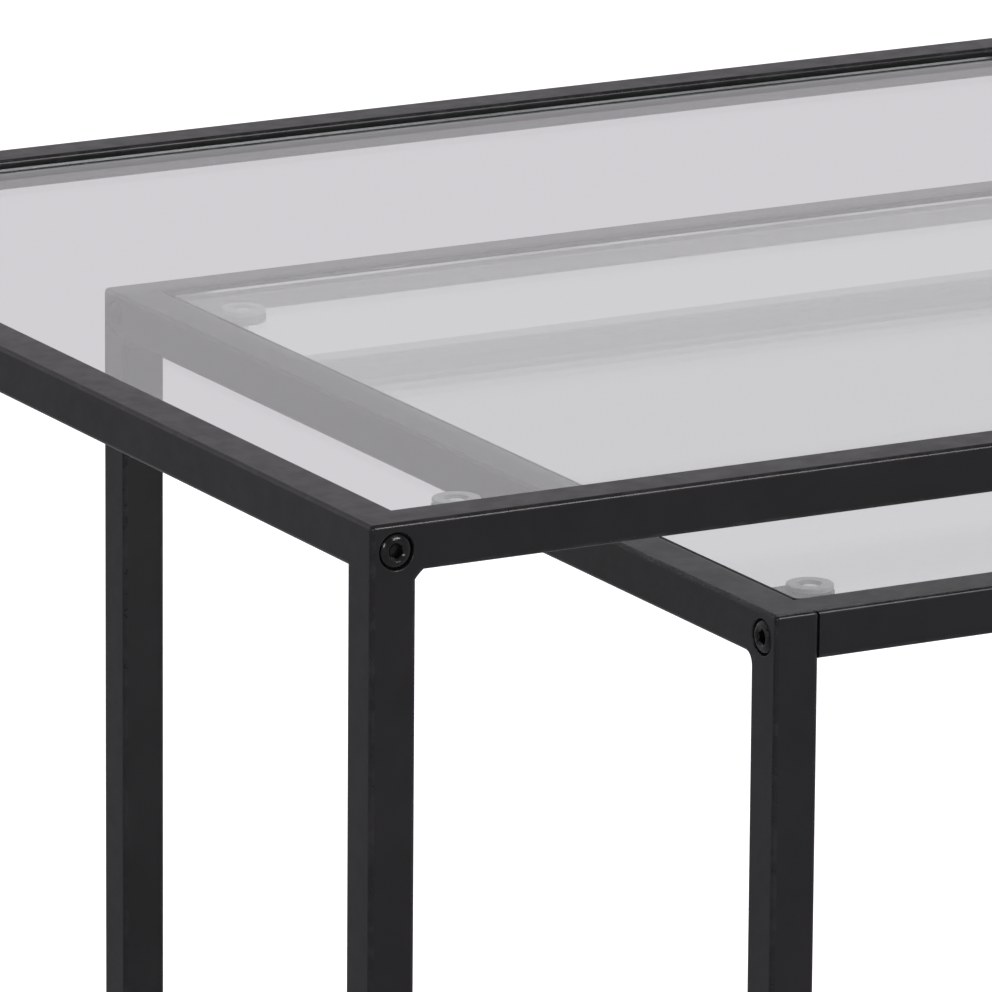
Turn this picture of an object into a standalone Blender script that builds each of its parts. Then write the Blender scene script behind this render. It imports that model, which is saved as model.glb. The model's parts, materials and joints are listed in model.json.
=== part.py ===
"""Two nesting tables: welded square-tube frames bolted together, with drop-in glass tops.

The large table stands over the small one.  The small table is drawn sideways from under it, along +X.
Units are metres, +Z is up, the floor is Z = 0, and the origin is the middle of the floor area that the
pair covers with the small table partly drawn out.
"""
import math

import bmesh
import bpy
from mathutils import Matrix, Vector

# Driving dimensions of the large table, in metres.
OUTER_LENGTH = 0.550     # along X, over the tubes
OUTER_DEPTH = 0.480      # along Y, over the tubes
OUTER_HEIGHT = 0.500     # floor to the top of the rails

# How the small table fits under the large one.
NEST_END_GAP = 0.020     # from each end of the large table to the small one, when nested
NEST_SIDE_GAP = 0.005    # between the large table's legs and the small table's side faces
NEST_TOP_GAP = 0.035     # between the large table's rails and the small table's top
DRAWN_OUT = 0.1265       # how far the small table stands out of its nested place, along +X

# Square tube.
TUBE = 0.015
WALL = 0.0012
TUBE_ROUND = 0.0016      # outer corner radius of the tube
BORE_ROUND = 0.0005      # inner corner radius of the tube
WELD_LEG = 0.0023        # weld across the inside corner of leg and rail
SEAM_GAP = 0.0003        # gap between faces that touch

# Glass top.
GLASS_THICKNESS = 0.006
OUTER_RECESS = 0.0024    # top of the glass below the top of the rails, large table
INNER_RECESS = 0.0010    # the same, small table
GLASS_EDGE_GAP = 0.0015  # between the pane's edge and the rails
GLASS_CORNER = 0.003     # corner radius of the pane
GLASS_ARRIS = 0.0006     # ground edge of the pane

# Bolts that join the rails to the leg frames: M6 x 30, low domed head, hexagon socket.
BOLT_OFFSET = 0.0009     # bolt axis from the middle of the tubes, inwards and down
SHANK_RADIUS = 0.003
SHANK_LENGTH = 0.030
HEAD_RADIUS = 0.0052
HEAD_HEIGHT = 0.0020
HEAD_PROUD = 0.0004      # how far the head stands out of the leg's face
DOME_RISE = 0.0010
SOCKET_FLATS = 0.004
SOCKET_DEPTH = 0.0014
HEAD_CLEARANCE = 0.0004  # around the head in its counterbore
SHANK_CLEARANCE = 0.0003
CUP_WALL = 0.0006        # cup that the head sits in, welded into the leg's outer face
CUP_FLOOR = 0.0012
SPACER_WALL = 0.0010     # tube around the shank, from wall to wall of the leg

# Threaded plug in each end of a bolted rail.
PLUG_LENGTH = 0.018
PLUG_RECESS = 0.0008
PLUG_CLEARANCE = 0.0003
THREAD_CLEARANCE = 0.0003

# Support tabs and the pads that the glass lies on.
TAB_THICKNESS = 0.0025
TAB_WIDTH = 0.015
OUTER_TAB_REACH = 0.0165 # pad's centre from the inner face of the rail that holds the tab
OUTER_TAB_OFFSET = 0.030 # pad's centre from the inner face of the neighbouring rail
INNER_TAB_REACH = 0.018
INNER_TAB_OFFSET = 0.0215
PAD_RADIUS = 0.00725
PAD_THICKNESS = 0.0017
PAD_DISH_RADIUS = 0.0036
PAD_DISH_DEPTH = 0.0009
PAD_STEM_RADIUS = 0.0021
PAD_STEM_TAPER = 0.0006  # how much thinner the stem is at its foot
PAD_STEM_BELOW = 0.0040  # stem below the tab
STEM_CLEARANCE = 0.0003

# Foot glide pushed into the bottom of each leg.
FOOT_FLANGE = 0.003
FOOT_STEM = 0.014
FOOT_STEM_CLEARANCE = 0.0003
FOOT_ROUND = 0.0006

ROUND_SEGMENTS = 24      # sides of a round hole or a turned piece
ARC_STEPS = 3            # flats across a rounded corner
SMALL_ARC_STEPS = 1      # flats across a corner that is out of sight

# Sizes that follow from the ones above.
INNER_LENGTH = OUTER_LENGTH - 2 * NEST_END_GAP
INNER_DEPTH = OUTER_DEPTH - 2 * (TUBE + NEST_SIDE_GAP)
INNER_HEIGHT = OUTER_HEIGHT - TUBE - NEST_TOP_GAP
BORE = TUBE - 2 * WALL
BOLT_INSET = TUBE / 2 + BOLT_OFFSET
LEG_FOOT = FOOT_FLANGE + SEAM_GAP
HEAD_SEAT = HEAD_HEIGHT - HEAD_PROUD + SEAM_GAP
PAD_TOP_DROP = GLASS_THICKNESS + SEAM_GAP                # from the top of the glass to the pads' tops
TAB_TOP_DROP = PAD_TOP_DROP + PAD_THICKNESS + SEAM_GAP   # from the top of the glass to the tabs' tops

PART_COLLECTION = "nesting_tables"
CUTTER_COLLECTION = "cutters"


# ---------------------------------------------------------------- scene and materials

def clear_scene():
    for old in list(bpy.data.objects):
        bpy.data.objects.remove(old, do_unlink=True)


def collection(name):
    found = bpy.data.collections.get(name)
    if found is None:
        found = bpy.data.collections.new(name)
        bpy.context.scene.collection.children.link(found)
    return found


def material(name, colour, roughness, metallic=0.0, transmission=0.0):
    made = bpy.data.materials.new(name)
    made.use_nodes = True
    shader = made.node_tree.nodes["Principled BSDF"]
    shader.inputs["Base Color"].default_value = (*colour, 1.0)
    shader.inputs["Roughness"].default_value = roughness
    shader.inputs["Metallic"].default_value = metallic
    shader.inputs["Transmission Weight"].default_value = transmission
    made.diffuse_color = (*colour, 1.0)
    return made


def make_materials():
    return {
        "powder_coat": material("black_powder_coat", (0.018, 0.017, 0.018), 0.5),
        "glass": material("clear_glass", (0.80, 0.82, 0.82), 0.03, transmission=0.9),
        "pad": material("clear_silicone", (0.55, 0.56, 0.57), 0.4, transmission=0.5),
        "bolt": material("black_oxide_steel", (0.02, 0.02, 0.021), 0.3, metallic=0.8),
        "plug": material("zinc_plated_steel", (0.55, 0.56, 0.58), 0.35, metallic=1.0),
        "foot": material("black_plastic", (0.02, 0.02, 0.02), 0.6),
    }


# ---------------------------------------------------------------- building blocks

def object_from_bmesh(bm, name):
    mesh = bpy.data.meshes.new(name)
    bm.to_mesh(mesh)
    bm.free()
    made = bpy.data.objects.new(name, mesh)
    collection(PART_COLLECTION).objects.link(made)
    return made


def make_cutter(made):
    collection(PART_COLLECTION).objects.unlink(made)
    collection(CUTTER_COLLECTION).objects.link(made)
    made.hide_render = True
    made.display_type = "WIRE"
    return made


def evaluated_mesh(source, name):
    bpy.context.view_layer.update()
    graph = bpy.context.evaluated_depsgraph_get()
    mesh = bpy.data.meshes.new_from_object(source.evaluated_get(graph))
    mesh.name = name
    return mesh


def extruded_outlines(name, outlines, thickness):
    """Solid of the given thickness, centred on Z = 0: the first outline, with the others as its holes."""
    curve = bpy.data.curves.new(name, "CURVE")
    curve.dimensions = "2D"
    curve.fill_mode = "BOTH"
    curve.extrude = thickness / 2
    for outline in outlines:
        spline = curve.splines.new("POLY")
        spline.points.add(len(outline) - 1)
        for point, (x, y) in zip(spline.points, outline):
            point.co = (x, y, 0.0, 1.0)
        spline.use_cyclic_u = True
    flat = bpy.data.objects.new(name, curve)
    collection(PART_COLLECTION).objects.link(flat)
    mesh = evaluated_mesh(flat, name)
    bpy.data.objects.remove(flat, do_unlink=True)
    bm = bmesh.new()
    bm.from_mesh(mesh)
    bmesh.ops.remove_doubles(bm, verts=bm.verts, dist=1e-6)
    bmesh.ops.recalc_face_normals(bm, faces=bm.faces)
    bpy.data.meshes.remove(mesh)
    return object_from_bmesh(bm, name)


def arc(centre_x, centre_y, radius, start, end, steps):
    """Points along an arc, from one angle to another, in degrees."""
    points = []
    for i in range(steps + 1):
        angle = math.radians(start + (end - start) * i / steps)
        points.append((centre_x + radius * math.cos(angle), centre_y + radius * math.sin(angle)))
    return points


def rounded_rectangle(width, depth, radius, steps=ARC_STEPS):
    points = []
    for quarter, (side_x, side_y) in enumerate(((1, 1), (-1, 1), (-1, -1), (1, -1))):
        centre_x = side_x * (width / 2 - radius)
        centre_y = side_y * (depth / 2 - radius)
        points += arc(centre_x, centre_y, radius, 90 * quarter, 90 * quarter + 90, steps)
    return points


def circle(centre_x, centre_y, radius):
    return arc(centre_x, centre_y, radius, 0, 360 - 360 / ROUND_SEGMENTS, ROUND_SEGMENTS - 1)


def add_bevel(made, width, segments, angle):
    bevel = made.modifiers.new("edges", "BEVEL")
    bevel.width = width
    bevel.segments = segments
    bevel.limit_method = "ANGLE"
    bevel.angle_limit = math.radians(angle)
    return bevel


def round_square_edges(made, radius, segments, end_y):
    """Round every square edge of the mesh, apart from those round its cut ends at Y = end_y."""
    bm = bmesh.new()
    bm.from_mesh(made.data)
    square = []
    for edge in bm.edges:
        at_end = all(abs(vert.co.y - end_y) < radius / 4 for vert in edge.verts)
        if not at_end and edge.calc_face_angle(0.0) > math.radians(60):
            square.append(edge)
    bmesh.ops.bevel(bm, geom=square, offset=radius, segments=segments, profile=0.5, affect="EDGES")
    bm.to_mesh(made.data)
    bm.free()


def add_boolean(made, operand, operation):
    cut = made.modifiers.new(operation.lower(), "BOOLEAN")
    cut.operation = operation
    cut.object = operand
    cut.solver = "EXACT"
    return cut


def cylinder(name, radius, low, high, centre=(0.0, 0.0), segments=ROUND_SEGMENTS):
    """A round bar along Z, from low to high."""
    bm = bmesh.new()
    place = Matrix.Translation((centre[0], centre[1], (low + high) / 2))
    bmesh.ops.create_cone(bm, cap_ends=True, segments=segments, radius1=radius, radius2=radius,
                          depth=high - low, matrix=place)
    return object_from_bmesh(bm, name)


def joined(name, pieces):
    """One mesh object that holds several closed pieces, for use as a single cutter."""
    bm = bmesh.new()
    for piece in pieces:
        bm.from_mesh(piece.data)
        bpy.data.objects.remove(piece, do_unlink=True)
    return object_from_bmesh(bm, name)


def turned(name, profile, segments=ROUND_SEGMENTS):
    """A solid turned about Z.  The profile runs down the outer side, from the axis to the axis."""
    bm = bmesh.new()
    corners = [bm.verts.new((radius, 0.0, height)) for radius, height in profile]
    for first, second in zip(corners, corners[1:]):
        bm.edges.new((first, second))
    made = object_from_bmesh(bm, name)
    screw = made.modifiers.new("turn", "SCREW")
    screw.steps = segments
    screw.render_steps = segments
    screw.use_merge_vertices = True
    screw.merge_threshold = 0.00001
    return made


def finished_mesh(source, name, smooth_angle=35):
    """The mesh with its modifiers applied, ready to be shared by several objects."""
    mesh = evaluated_mesh(source, name)
    bpy.data.objects.remove(source, do_unlink=True)
    mesh.shade_smooth()
    mesh.set_sharp_from_angle(angle=math.radians(smooth_angle))
    return mesh


def place(name, mesh, finish, parent, location=(0.0, 0.0, 0.0), matrix=None):
    """A part: an object of its own, with its own material, under its table's empty."""
    if not mesh.materials:
        mesh.materials.append(finish)
    made = bpy.data.objects.new(name, mesh)
    collection(PART_COLLECTION).objects.link(made)
    made.parent = parent
    made.matrix_local = Matrix.Translation(location) @ (matrix or Matrix.Identity(4))
    return made


# ---------------------------------------------------------------- sub-parts

def frame_outline(length, height, inset, foot, weld):
    """Outline of a leg-rail-leg frame, drawn inset by one distance all round, in length and height."""
    side = length / 2 - inset
    inner = length / 2 - TUBE + inset
    top = height - inset
    under = height - TUBE + inset
    return [(-side, foot), (-side, top), (side, top), (side, foot), (inner, foot),
            (inner, under - weld), (inner - weld, under), (weld - inner, under),
            (-inner, under - weld), (-inner, foot)]


def leg_frame_mesh(length, height):
    """Two legs and a rail welded into one frame.  Drawn in X and Z, outer face towards -Y."""
    name = "leg_frame"
    frame = extruded_outlines(name, [frame_outline(length, height, 0.0, LEG_FOOT, WELD_LEG)], TUBE)
    round_square_edges(frame, TUBE_ROUND, ARC_STEPS, LEG_FOOT)
    bore_outline = frame_outline(length, height, WALL, LEG_FOOT - TUBE, BORE_ROUND)
    bore = make_cutter(extruded_outlines("frame_bore", [bore_outline], BORE))
    add_boolean(frame, bore, "DIFFERENCE")

    # At each corner a cup holds the bolt's head and a spacer tube carries the shank from wall to wall.
    # The outer face is the +Z side until the frame is stood up.
    bolt_x = length / 2 - BOLT_INSET
    bolt_z = height - BOLT_INSET
    places = [(-bolt_x, bolt_z), (bolt_x, bolt_z)]
    in_wall = TUBE / 2 - WALL / 2
    seat_radius = HEAD_RADIUS + HEAD_CLEARANCE
    hole_radius = SHANK_RADIUS + SHANK_CLEARANCE
    seat_floor = TUBE / 2 - HEAD_SEAT
    rounds = [("spacers", "UNION", hole_radius + SPACER_WALL, -in_wall, in_wall),
              ("cups", "UNION", seat_radius + CUP_WALL, seat_floor - CUP_FLOOR, in_wall),
              ("shank_holes", "DIFFERENCE", hole_radius, -TUBE, TUBE),
              ("head_seats", "DIFFERENCE", seat_radius, seat_floor, TUBE)]
    for label, operation, radius, low, high in rounds:
        pair = joined(label, [cylinder(label, radius, low, high, at) for at in places])
        add_boolean(frame, make_cutter(pair), operation)
    mesh = finished_mesh(frame, name)
    mesh.transform(Matrix.Rotation(math.radians(90), 4, "X"))
    return mesh


def rail_mesh(span):
    """Square tube along Y, open at both ends, its top face up."""
    outer = rounded_rectangle(TUBE, TUBE, TUBE_ROUND)
    inner = rounded_rectangle(BORE, BORE, BORE_ROUND, SMALL_ARC_STEPS)
    rail = extruded_outlines("rail", [outer, inner], span)
    mesh = finished_mesh(rail, "rail")
    mesh.transform(Matrix.Rotation(math.radians(90), 4, "X"))
    return mesh


def plug_mesh():
    """Threaded plug in a rail's end, along Z with its outer end up; its bore is off the middle."""
    size = BORE - 2 * PLUG_CLEARANCE
    outline = rounded_rectangle(size, size, BORE_ROUND, SMALL_ARC_STEPS)
    bore = circle(BOLT_OFFSET, BOLT_OFFSET, SHANK_RADIUS + THREAD_CLEARANCE)
    plug = extruded_outlines("threaded_plug", [outline, bore], PLUG_LENGTH)
    return finished_mesh(plug, "threaded_plug")


def bolt_mesh():
    """Bolt along Z, the head's underside at Z = 0 and the shank below it."""
    rim = HEAD_HEIGHT - DOME_RISE
    dome_top = SOCKET_FLATS * 0.75
    profile = [(0.0, HEAD_HEIGHT), (dome_top, HEAD_HEIGHT)]
    for step in (1, 2, 3):
        angle = math.radians(30 * step)
        profile.append((dome_top + (HEAD_RADIUS - dome_top) * math.sin(angle),
                        rim + DOME_RISE * math.cos(angle)))
    profile += [(HEAD_RADIUS, 0.0), (SHANK_RADIUS, 0.0), (SHANK_RADIUS, SHANK_RADIUS / 4 - SHANK_LENGTH),
                (SHANK_RADIUS * 3 / 4, -SHANK_LENGTH), (0.0, -SHANK_LENGTH)]
    bolt = turned("bolt", profile)
    socket = make_cutter(cylinder("socket", SOCKET_FLATS / math.sqrt(3), HEAD_HEIGHT - SOCKET_DEPTH,
                                  HEAD_HEIGHT + SOCKET_DEPTH, segments=6))
    add_boolean(bolt, socket, "DIFFERENCE")
    return finished_mesh(bolt, "bolt")


def tab_mesh(reach):
    """Round-ended plate in X and Y.  The hole is at the origin and the root towards -Y."""
    half = TAB_WIDTH / 2
    root = SEAM_GAP - reach
    outline = [(-half, root), (half, root)] + arc(0.0, 0.0, half, 0, 180, 12)
    hole = circle(0.0, 0.0, PAD_STEM_RADIUS + STEM_CLEARANCE)
    tab = extruded_outlines("support_tab", [outline, hole], TAB_THICKNESS)
    return finished_mesh(tab, "support_tab")


def pad_mesh():
    """Soft pad with a dished middle and a stem.  Its top is at Z = 0."""
    lip = PAD_THICKNESS / 4
    stem_foot = -(TAB_TOP_DROP - PAD_TOP_DROP + TAB_THICKNESS + PAD_STEM_BELOW)
    profile = [(0.0, -PAD_DISH_DEPTH), (PAD_DISH_RADIUS - lip, -PAD_DISH_DEPTH), (PAD_DISH_RADIUS, 0.0),
               (PAD_RADIUS - lip, 0.0), (PAD_RADIUS, -lip), (PAD_RADIUS, lip - PAD_THICKNESS),
               (PAD_RADIUS - lip, -PAD_THICKNESS), (PAD_STEM_RADIUS, -PAD_THICKNESS),
               (PAD_STEM_RADIUS - PAD_STEM_TAPER, stem_foot), (0.0, stem_foot)]
    return finished_mesh(turned("glass_pad", profile), "glass_pad")


def glass_mesh(length, depth):
    """Pane that drops between the rails.  Its middle is at the origin."""
    gap = 2 * (TUBE + GLASS_EDGE_GAP)
    outline = rounded_rectangle(length - gap, depth - gap, GLASS_CORNER)
    pane = extruded_outlines("glass_pane", [outline], GLASS_THICKNESS)
    add_bevel(pane, GLASS_ARRIS, 1, 60)
    return finished_mesh(pane, "glass_pane", 20)


def foot_mesh():
    """Glide with a square stem.  It stands on Z = 0."""
    flange_outline = rounded_rectangle(TUBE, TUBE, TUBE_ROUND, 2)
    flange = extruded_outlines("foot_glide", [flange_outline], FOOT_FLANGE)
    flange.data.transform(Matrix.Translation((0.0, 0.0, FOOT_FLANGE / 2)))
    add_bevel(flange, FOOT_ROUND, 1, 60)
    stem_side = BORE - 2 * FOOT_STEM_CLEARANCE
    stem_height = FOOT_STEM + FOOT_FLANGE / 2
    outline = rounded_rectangle(stem_side, stem_side, BORE_ROUND, SMALL_ARC_STEPS)
    stem = extruded_outlines("foot_stem", [outline], stem_height)
    stem.data.transform(Matrix.Translation((0.0, 0.0, (FOOT_FLANGE + stem_height) / 2)))
    add_boolean(flange, make_cutter(stem), "UNION")
    return finished_mesh(flange, "foot_glide")


# ---------------------------------------------------------------- assembly

def side_name(x, y):
    """The side of the table that a direction points to."""
    if abs(x) > abs(y):
        return "right" if x > 0 else "left"
    return "back" if y > 0 else "front"


def corner_name(point):
    depth_word = "back" if point.y > 0 else "front"
    side_word = "right" if point.x > 0 else "left"
    return depth_word + "_" + side_word


def build_table(name, size, fit, turn, centre_x, meshes, finishes):
    """One table.  Its leg frames stand across the length at front and back, before it is turned.

    size holds its length, depth and height, and fit the recess of its glass and its tabs' reach and offset.
    """
    length, depth, height = size
    turned_by = Matrix.Rotation(math.radians(turn), 4, "Z")
    base = bpy.data.objects.new(name + "_table", None)
    collection(PART_COLLECTION).objects.link(base)
    base.location = (centre_x, 0.0, 0.0)

    glass_base = bpy.data.objects.new(name + "_glass_lift", None)
    collection(PART_COLLECTION).objects.link(glass_base)
    glass_base.parent = base
    glass_base.location = (0.0, 0.0, height - fit[0] - GLASS_THICKNESS / 2)

    frame = leg_frame_mesh(length, height)
    rail = rail_mesh(depth - 2 * (TUBE + SEAM_GAP))
    for facing in (-1, 1):
        about = Matrix.Rotation(0.0 if facing < 0 else math.pi, 4, "Z")
        shift = Matrix.Translation((0.0, facing * (depth - TUBE) / 2, 0.0))
        matrix = turned_by @ shift @ about
        side = side_name(*(turned_by @ Vector((0.0, facing, 0.0))).xy)
        place(name + "_" + side + "_frame", frame, finishes["powder_coat"], base, matrix=matrix)

        matrix = turned_by @ Matrix.Translation((facing * (length - TUBE) / 2, 0.0, height - TUBE / 2))
        side = side_name(*(turned_by @ Vector((facing, 0.0, 0.0))).xy)
        place(name + "_" + side + "_rail", rail, finishes["powder_coat"], base, matrix=matrix)

    own = {**meshes, "tab": tab_mesh(fit[1])}
    for side_x in (-1, 1):
        for side_y in (-1, 1):
            build_corner(name, (side_x, side_y), size, fit, turned_by, base, own, finishes)

    pane = glass_mesh(length, depth)
    place(name + "_glass", pane, finishes["glass"], glass_base, matrix=turned_by)
    return base


def build_corner(name, sides, size, fit, turned_by, base, meshes, finishes):
    """The bolt, threaded plug, tab, pad and foot at one corner of a table."""
    side_x, side_y = sides
    length, depth, height = size
    corner = corner_name(turned_by @ Vector((side_x, side_y, 0.0)))

    # Bolt and plug lie along Y, with the bolt's head towards the leg frame's outer face.
    outward = Matrix.Rotation(math.radians(90 if side_y < 0 else -90), 4, "X")
    bolt_x = side_x * (length / 2 - BOLT_INSET)
    bolt_y = side_y * (depth / 2 - HEAD_SEAT + SEAM_GAP)
    bolt_place = Matrix.Translation((bolt_x, bolt_y, height - BOLT_INSET)) @ outward
    place(name + "_bolt_" + corner, meshes["bolt"], finishes["bolt"], base, matrix=turned_by @ bolt_place)

    # The plug's bore is off the middle towards the table's inside and down, so that it meets the bolt.
    plug_x = side_x * (length - TUBE) / 2
    plug_y = side_y * (depth / 2 - TUBE - SEAM_GAP - PLUG_RECESS - PLUG_LENGTH / 2)
    spin = {(-1, -1): -90, (1, -1): 180, (1, 1): 90, (-1, 1): 0}[sides]
    about = Matrix.Rotation(math.radians(spin), 4, "Z")
    plug_place = Matrix.Translation((plug_x, plug_y, height - TUBE / 2)) @ outward @ about
    place(name + "_plug_" + corner, meshes["plug"], finishes["plug"], base, matrix=turned_by @ plug_place)

    # The tab is welded to the leg frame's rail and reaches inwards.
    recess, reach, offset = fit
    pad_x = side_x * (length / 2 - TUBE - offset)
    pad_y = side_y * (depth / 2 - TUBE - reach)
    inward = Matrix.Rotation(0.0 if side_y < 0 else math.pi, 4, "Z")
    tab_z = height - recess - TAB_TOP_DROP - TAB_THICKNESS / 2
    tab_place = Matrix.Translation((pad_x, pad_y, tab_z)) @ inward
    place(name + "_tab_" + corner, meshes["tab"], finishes["powder_coat"], base, matrix=turned_by @ tab_place)

    pad_place = Matrix.Translation((pad_x, pad_y, height - recess - PAD_TOP_DROP))
    place(name + "_pad_" + corner, meshes["pad"], finishes["pad"], base, matrix=turned_by @ pad_place)

    foot_place = Matrix.Translation((side_x * (length - TUBE) / 2, side_y * (depth - TUBE) / 2, 0.0))
    place(name + "_foot_" + corner, meshes["foot"], finishes["foot"], base, matrix=turned_by @ foot_place)


def main():
    clear_scene()
    finishes = make_materials()
    left = -OUTER_LENGTH / 2
    right = max(OUTER_LENGTH / 2, DRAWN_OUT + INNER_LENGTH / 2 + HEAD_PROUD)
    outer_x = -(left + right) / 2
    small = {"bolt": bolt_mesh(), "plug": plug_mesh(), "pad": pad_mesh(), "foot": foot_mesh()}
    outer_size = (OUTER_LENGTH, OUTER_DEPTH, OUTER_HEIGHT)
    outer_fit = (OUTER_RECESS, OUTER_TAB_REACH, OUTER_TAB_OFFSET)
    build_table("outer", outer_size, outer_fit, 0, outer_x, small, finishes)

    # The small table is the same construction, turned so that its leg frames stand at left and right.
    inner_size = (INNER_DEPTH, INNER_LENGTH, INNER_HEIGHT)
    inner_fit = (INNER_RECESS, INNER_TAB_REACH, INNER_TAB_OFFSET)
    build_table("inner", inner_size, inner_fit, -90, outer_x + DRAWN_OUT, small, finishes)


if __name__ == "__main__":
    main()
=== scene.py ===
"""Finished look of two nesting tables, built around the measured frame.

Every piece takes its place and its main sizes from the frame.  The sizes and colours that a user may
want to change are in the property groups, and each operator makes one group of like pieces.
Units are metres and +Z is up.
"""
import json
import math

import bmesh
import bpy
from bpy.props import FloatProperty, FloatVectorProperty, PointerProperty
from mathutils import Matrix, Vector


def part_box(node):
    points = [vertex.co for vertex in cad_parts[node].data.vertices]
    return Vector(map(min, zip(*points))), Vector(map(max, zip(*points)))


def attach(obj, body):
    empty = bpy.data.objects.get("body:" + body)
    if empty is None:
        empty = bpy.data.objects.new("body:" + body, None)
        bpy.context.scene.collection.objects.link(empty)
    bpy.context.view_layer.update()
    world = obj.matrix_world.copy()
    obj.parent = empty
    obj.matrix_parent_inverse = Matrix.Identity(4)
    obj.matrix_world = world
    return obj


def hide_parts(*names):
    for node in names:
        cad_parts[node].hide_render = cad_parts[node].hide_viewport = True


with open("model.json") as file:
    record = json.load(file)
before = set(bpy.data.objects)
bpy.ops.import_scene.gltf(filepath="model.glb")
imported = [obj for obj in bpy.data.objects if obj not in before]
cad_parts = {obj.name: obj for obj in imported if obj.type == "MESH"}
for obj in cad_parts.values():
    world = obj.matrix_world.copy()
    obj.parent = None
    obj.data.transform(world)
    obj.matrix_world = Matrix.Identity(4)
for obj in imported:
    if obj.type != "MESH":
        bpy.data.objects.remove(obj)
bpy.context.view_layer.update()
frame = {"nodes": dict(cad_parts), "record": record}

bl_info = {
    "name": "Nesting tables",
    "version": (1, 0, 0),
    "blender": (4, 5, 0),
    "location": "3D View > Sidebar > Tables",
    "description": "Builds the finished pieces of two nesting tables round their frame",
    "category": "Object",
}

MM = 0.001

# Which way each leg frame and each bolted rail faces.
FRAME_SIDES = {"outer": ("front", "back"), "inner": ("left", "right")}
RAIL_SIDES = {"outer": ("left", "right"), "inner": ("front", "back")}
CORNERS = ("front_left", "front_right", "back_left", "back_right")
TURN = {"front": 0.0, "right": 90.0, "back": 180.0, "left": -90.0}

ROUND_POINTS = 48        # points round a turned ring; a multiple of six, for the hexagon socket
CORNER_STEPS = 6         # faces across a rounded corner of the tube
EDGE_ATTRIBUTE = "edge_wear"

# Sizes of the pieces that a box of the frame does not give.
FRAME_GAP = 0.3 * MM             # gap that the frame leaves between faces that touch
BORE_ROUND = 0.5 * MM            # inner corner radius of the tube
BORE_WELD = 0.2 * MM             # weld inside the bore's corners
HEAD_HEIGHT = 2.0 * MM
SHANK_RADIUS = 3.0 * MM
SHANK_HOLE_RADIUS = 3.3 * MM
SEAT_CLEARANCE = 0.4 * MM        # round the bolt's head in its seat
SEAT_DEPTH = 1.9 * MM
CUP_WALL = 0.6 * MM              # cup under the bolt's head
CUP_FLOOR = 1.2 * MM
SPACER_WALL = 1.0 * MM           # tube round the bolt's shank
STEM_RADIUS = 2.1 * MM           # stem of a pad
STEM_HOLE_RADIUS = 2.4 * MM
FOOT_FLANGE = 3.0 * MM
FOOT_CLEARANCE = 0.3 * MM        # between a foot's stem and the bore


# ---------------------------------------------------------------- settings

class TubeSettings(bpy.types.PropertyGroup):
    """Square tube, its welds and its powder coat."""
    corner_round: FloatProperty(
        name="Corner round", description="Outer corner radius of the square tube",
        default=1.6 * MM, min=0.3 * MM, max=3 * MM, unit="LENGTH")
    seam: FloatProperty(
        name="Seam", description="Gap that shows between a bolted rail and the leg frame",
        default=0.05 * MM, min=0.0, max=0.3 * MM, precision=5, unit="LENGTH")
    wall: FloatProperty(
        name="Wall", description="Wall thickness of the square tube",
        default=1.2 * MM, min=0.5 * MM, max=3 * MM, unit="LENGTH")
    ground_weld: FloatProperty(
        name="Large table weld", description="Leg of the weld across the inside corner, large table",
        default=2.7 * MM, min=0.5 * MM, max=6 * MM, unit="LENGTH")
    round_weld: FloatProperty(
        name="Small table weld", description="Leg of the hollow weld in the inside corner, small table",
        default=3.8 * MM, min=0.5 * MM, max=6 * MM, unit="LENGTH")
    hole_lip: FloatProperty(
        name="Hole lip", description="Rounding of the lip round each bolt's hole",
        default=0.45 * MM, min=0.05 * MM, max=1 * MM, unit="LENGTH")
    colour: FloatVectorProperty(
        name="Coat colour", description="Colour of the powder coat",
        default=(0.0125, 0.0117, 0.0127), min=0.0, max=1.0, subtype="COLOR")
    roughness: FloatProperty(
        name="Coat roughness", description="Roughness of the powder coat",
        default=0.40, min=0.0, max=1.0, subtype="FACTOR")
    grain: FloatProperty(
        name="Coat grain", description="Width of the small bumps in the powder coat",
        default=0.9 * MM, min=0.1 * MM, max=5 * MM, unit="LENGTH")
    relief: FloatProperty(
        name="Coat relief", description="Height of the small bumps in the powder coat",
        default=0.010 * MM, min=0.0, max=0.1 * MM, precision=6, unit="LENGTH")
    wear: FloatProperty(
        name="Edge wear", description="How far the coat is burnished along the edges",
        default=0.5, min=0.0, max=1.0, subtype="FACTOR")


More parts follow.
